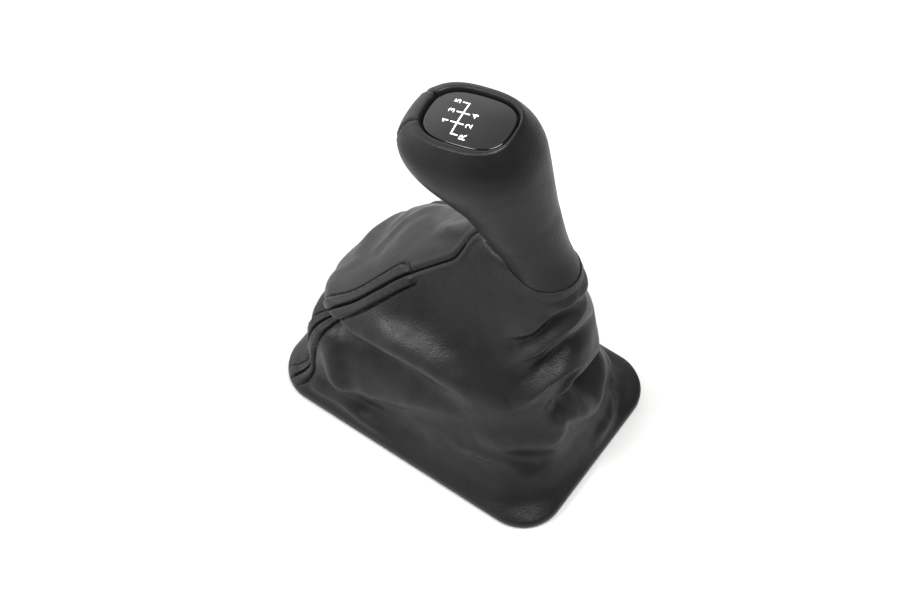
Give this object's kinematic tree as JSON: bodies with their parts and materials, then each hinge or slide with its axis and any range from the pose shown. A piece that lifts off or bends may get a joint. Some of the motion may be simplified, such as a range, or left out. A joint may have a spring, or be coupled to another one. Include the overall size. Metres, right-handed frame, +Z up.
{
  "type": "gear lever gaiter with knob",
  "caption": "Sewn leather gear lever gaiter on a clip-in rectangular frame, tied round the neck of its leather gear knob with a glossy shift pattern cap.",
  "frame": {"origin": "centre of the base on the surface that it stands on", "axes": "+Z up from the base to the knob, +Y towards the front of the car, +X to its right"},
  "size_m": [0.1, 0.145, 0.1978],
  "materials": {
    "gaiter_leather": "fine grained black nappa leather, satin",
    "knob_leather": "smooth black leather, satin with a soft sheen",
    "thread": "bonded black sewing thread",
    "frame_plastic": "moulded black polypropylene, matt",
    "core_plastic": "moulded black plastic, matt",
    "cap_gloss": "polished black plastic",
    "white_print": "white pad print",
    "spring_steel": "plain steel wire and strip",
    "nylon": "black nylon"
  },
  "bodies": {
    "root": {"base_frame": "frame_plastic", "frame_clip_1": "spring_steel", "frame_clip_2": "spring_steel", "frame_clip_3": "spring_steel", "frame_clip_4": "spring_steel", "gaiter_front_panel": "gaiter_leather", "gaiter_tie": "nylon", "gaiter_wrap_panel": "gaiter_leather", "gate_label_1": "white_print", "gate_label_2": "white_print", "gate_label_3": "white_print", "gate_label_4": "white_print", "gate_label_5": "white_print", "gate_label_R": "white_print", "gate_lines": "white_print", "hem_staple_1": "spring_steel", "hem_staple_10": "spring_steel", "hem_staple_2": "spring_steel", "hem_staple_3": "spring_steel", "hem_staple_4": "spring_steel", "hem_staple_5": "spring_steel", "hem_staple_6": "spring_steel", "hem_staple_7": "spring_steel", "hem_staple_8": "spring_steel", "hem_staple_9": "spring_steel", "knob_cap": "cap_gloss", "knob_core": "core_plastic", "knob_leather_cover": "knob_leather", "knob_leather_front_strip": "knob_leather", "left_seam_front_stitching": "thread", "left_seam_side_stitching": "thread", "lever_bush": "nylon", "right_seam_front_stitching": "thread", "right_seam_side_stitching": "thread"}
  },
  "joints": []
}
